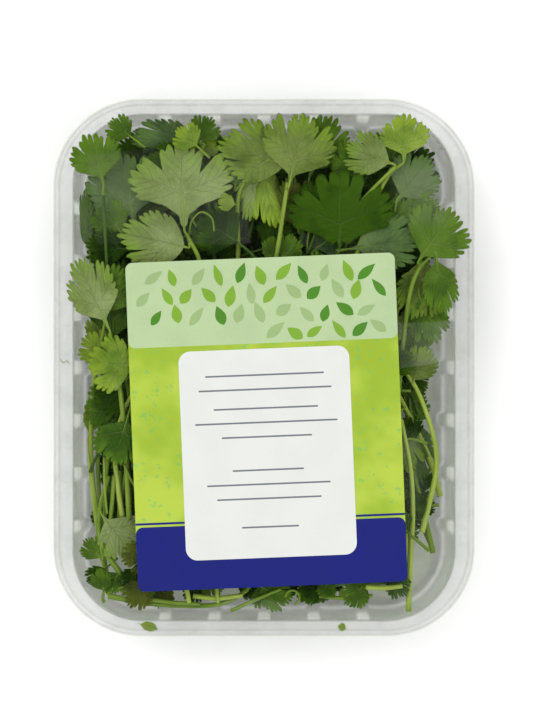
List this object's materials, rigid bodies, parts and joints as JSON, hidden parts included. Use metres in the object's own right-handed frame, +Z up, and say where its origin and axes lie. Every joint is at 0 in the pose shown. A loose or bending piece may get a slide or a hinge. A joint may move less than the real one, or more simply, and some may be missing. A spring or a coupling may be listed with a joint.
{
  "type": "coriander bunch in a sealed tray",
  "caption": "Loose leafy coriander sprigs lying in a clear rectangular tray, closed by a clear film with a large plain paper label on top.",
  "frame": {"origin": "under the middle of the tray, on the surface it rests on", "axes": "+Y along the tray's long side towards the leafy end, +Z up through the film"},
  "size_m": [0.178, 0.227, 0.0375],
  "materials": {
    "clear_plastic": "clear thermoformed",
    "film": "clear film",
    "label_paper": "coated print",
    "leaf_pale": "leaf underside",
    "leaf_mid": "soft leaf",
    "leaf_bright": "young leaf and stalk",
    "leaf_dark": "old leaf"
  },
  "bodies": {
    "root": {"tray": "clear_plastic", "lidding_film": "film", "label": "label_paper", "sprig_corner_rim": "leaf_mid", "sprig_left_rim": "leaf_pale", "sprig_right_rim": "leaf_mid", "sprig_twin_fan": "leaf_pale", "sprig_top_right": "leaf_bright", "sprig_broad_pale": "leaf_pale", "sprig_large_dark": "leaf_dark", "sprig_hanging_pair": "leaf_bright", "sprig_right_shoulder": "leaf_mid", "sprig_right_edge": "leaf_pale", "sprig_left_edge": "leaf_mid", "sprig_left_bright": "leaf_bright", "sprig_left_dark": "leaf_dark", "sprig_hazy_fan": "leaf_dark", "sprig_folded": "leaf_dark", "sprig_behind_fans": "leaf_dark", "sprig_left_long": "leaf_bright", "sprig_left_low": "leaf_mid", "stalk_left_wide": "leaf_bright", "sprig_bottom_left": "leaf_mid", "sprig_bottom_right": "leaf_dark", "sprig_right_long": "leaf_bright", "sprig_right_cut": "leaf_mid", "stalk_right_tall": "leaf_bright", "stalk_right_inner": "leaf_mid", "stalk_right_outer": "leaf_mid", "sprig_low_1": "leaf_dark", "sprig_low_2": "leaf_dark", "sprig_low_3": "leaf_dark", "sprig_low_4": "leaf_dark", "sprig_low_5": "leaf_dark"}
  },
  "joints": []
}
